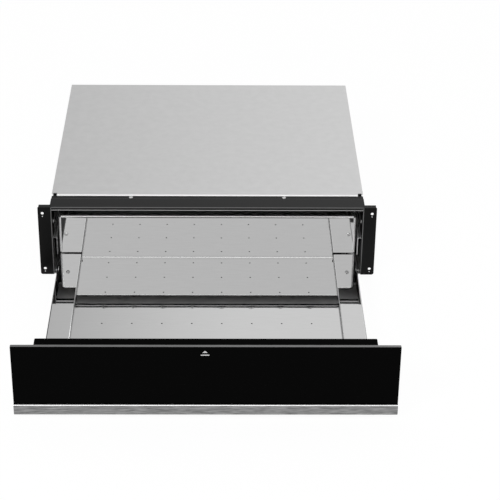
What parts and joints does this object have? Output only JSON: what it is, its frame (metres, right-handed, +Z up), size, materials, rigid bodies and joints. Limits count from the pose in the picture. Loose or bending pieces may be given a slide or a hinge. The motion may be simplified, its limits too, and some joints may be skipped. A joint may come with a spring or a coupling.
{
  "type": "built in warming drawer",
  "caption": "Built-in warming drawer, open: black front frame, sheet-metal housing, polished perforated tray on telescopic ball slides behind a black glass front.",
  "frame": {"origin": "centre of the underside of the housing's base plate, on the centre plane of the drawer; the front plane of the black frame is at Y = -0.259", "axes": "+X to the right as seen from the front, +Y to the back of the cabinet, +Z up; the drawer opens towards -Y"},
  "size_m": [0.595, 0.9602, 0.135],
  "materials": {
    "zinc_sheet": "galvanised",
    "slide_steel": "bright zinc plated",
    "frame_black": "satin black powder coat",
    "inner_front_black": "black enamel",
    "polished_steel": "polished stainless",
    "black_glass": "gloss, back painted black",
    "brushed_trim": "brushed stainless",
    "rubber_black": "matt",
    "plastic_dark": "moulded",
    "heater_metal": "oxidised tube",
    "motor_steel": "stamped laminations",
    "coil_red": "varnished coil tape",
    "bronze": "sintered",
    "board_green": "lacquered board"
  },
  "bodies": {
    "housing": {"base_plate": "zinc_sheet", "bulkhead": "zinc_sheet", "cable_gland": "plastic_dark", "control_board": "board_green", "control_box": "plastic_dark", "control_box_lid": "plastic_dark", "fan_bearings": "bronze", "fan_front_plate": "zinc_sheet", "fan_scroll": "zinc_sheet", "front_cross_member": "zinc_sheet", "front_rail": "frame_black", "heating_element": "heater_metal", "housing_screws": "slide_steel", "latch_body": "zinc_sheet", "latch_pin": "slide_steel", "latch_spring": "slide_steel", "left_ear": "frame_black", "left_fan_end_plate": "zinc_sheet", "left_outer_slide": "slide_steel", "left_side_panel": "zinc_sheet", "left_slide_bracket": "slide_steel", "motor_coil": "coil_red", "motor_stack": "motor_steel", "rear_panel": "zinc_sheet", "right_ear": "frame_black", "right_fan_end_plate": "zinc_sheet", "right_outer_slide": "slide_steel", "right_side_panel": "zinc_sheet", "right_slide_bracket": "slide_steel", "terminal_block": "plastic_dark", "thermal_cutout": "plastic_dark", "top_cover": "zinc_sheet"},
    "drawer": {"drawer_pan": "zinc_sheet", "perforated_floor": "polished_steel", "floor_ribs": "zinc_sheet", "left_ledge": "polished_steel", "right_ledge": "polished_steel", "back_wall": "polished_steel", "wall_brackets": "zinc_sheet", "left_inner_slide": "slide_steel", "right_inner_slide": "slide_steel", "inner_front": "inner_front_black", "front_carrier": "zinc_sheet", "front_glass": "black_glass", "top_trim": "brushed_trim", "bottom_strip": "brushed_trim", "front_buffers": "rubber_black", "striker": "slide_steel", "drawer_screws": "polished_steel"},
    "left_middle_member": {"left_middle_slide": "slide_steel"},
    "right_middle_member": {"right_middle_slide": "slide_steel"},
    "left_outer_cage": {"left_outer_ball_cage": "slide_steel"},
    "right_outer_cage": {"right_outer_ball_cage": "slide_steel"},
    "left_inner_cage": {"left_inner_ball_cage": "slide_steel"},
    "right_inner_cage": {"right_inner_ball_cage": "slide_steel"},
    "hook": {"latch_hook": "plastic_dark"},
    "rotor": {"fan_rotor": "plastic_dark", "fan_shaft": "slide_steel", "motor_core": "motor_steel"}
  },
  "joints": [
    {"name": "drawer_slide", "type": "slide", "parent": "housing", "child": "drawer", "axis": [0, -1, 0], "range_m": [-0.4265, 0]},
    {"name": "left_middle_member_slide", "type": "slide", "parent": "housing", "child": "left_middle_member", "axis": [0, -1, 0], "range_m": [-0.21375, 0]},
    {"name": "left_outer_cage_slide", "type": "slide", "parent": "housing", "child": "left_outer_cage", "axis": [0, -1, 0], "range_m": [-0.10712, 0]},
    {"name": "left_inner_cage_slide", "type": "slide", "parent": "housing", "child": "left_inner_cage", "axis": [0, -1, 0], "range_m": [-0.32038, 0]},
    {"name": "right_middle_member_slide", "type": "slide", "parent": "housing", "child": "right_middle_member", "axis": [0, -1, 0], "range_m": [-0.21375, 0]},
    {"name": "right_outer_cage_slide", "type": "slide", "parent": "housing", "child": "right_outer_cage", "axis": [0, -1, 0], "range_m": [-0.10712, 0]},
    {"name": "right_inner_cage_slide", "type": "slide", "parent": "housing", "child": "right_inner_cage", "axis": [0, -1, 0], "range_m": [-0.32038, 0]},
    {"name": "latch_hook_swing", "type": "hinge", "parent": "housing", "child": "hook", "pos_m": [0, 0.223, 0.099], "axis": [1, 0, 0], "range_deg": [0, 18], "stiffness_Nm_per_rad": 0.05, "springref_deg": -20.05},
    {"name": "fan_spin", "type": "hinge", "parent": "housing", "child": "rotor", "pos_m": [0, 0.2308, 0.038], "axis": [1, 0, 0], "continuous": true}
  ],
  "couplings": [
    {"joint": "left_middle_member_slide", "follows": "drawer_slide", "ratio": 0.5},
    {"joint": "left_outer_cage_slide", "follows": "drawer_slide", "ratio": 0.25},
    {"joint": "left_inner_cage_slide", "follows": "drawer_slide", "ratio": 0.75},
    {"joint": "right_middle_member_slide", "follows": "drawer_slide", "ratio": 0.5},
    {"joint": "right_outer_cage_slide", "follows": "drawer_slide", "ratio": 0.25},
    {"joint": "right_inner_cage_slide", "follows": "drawer_slide", "ratio": 0.75}
  ]
}
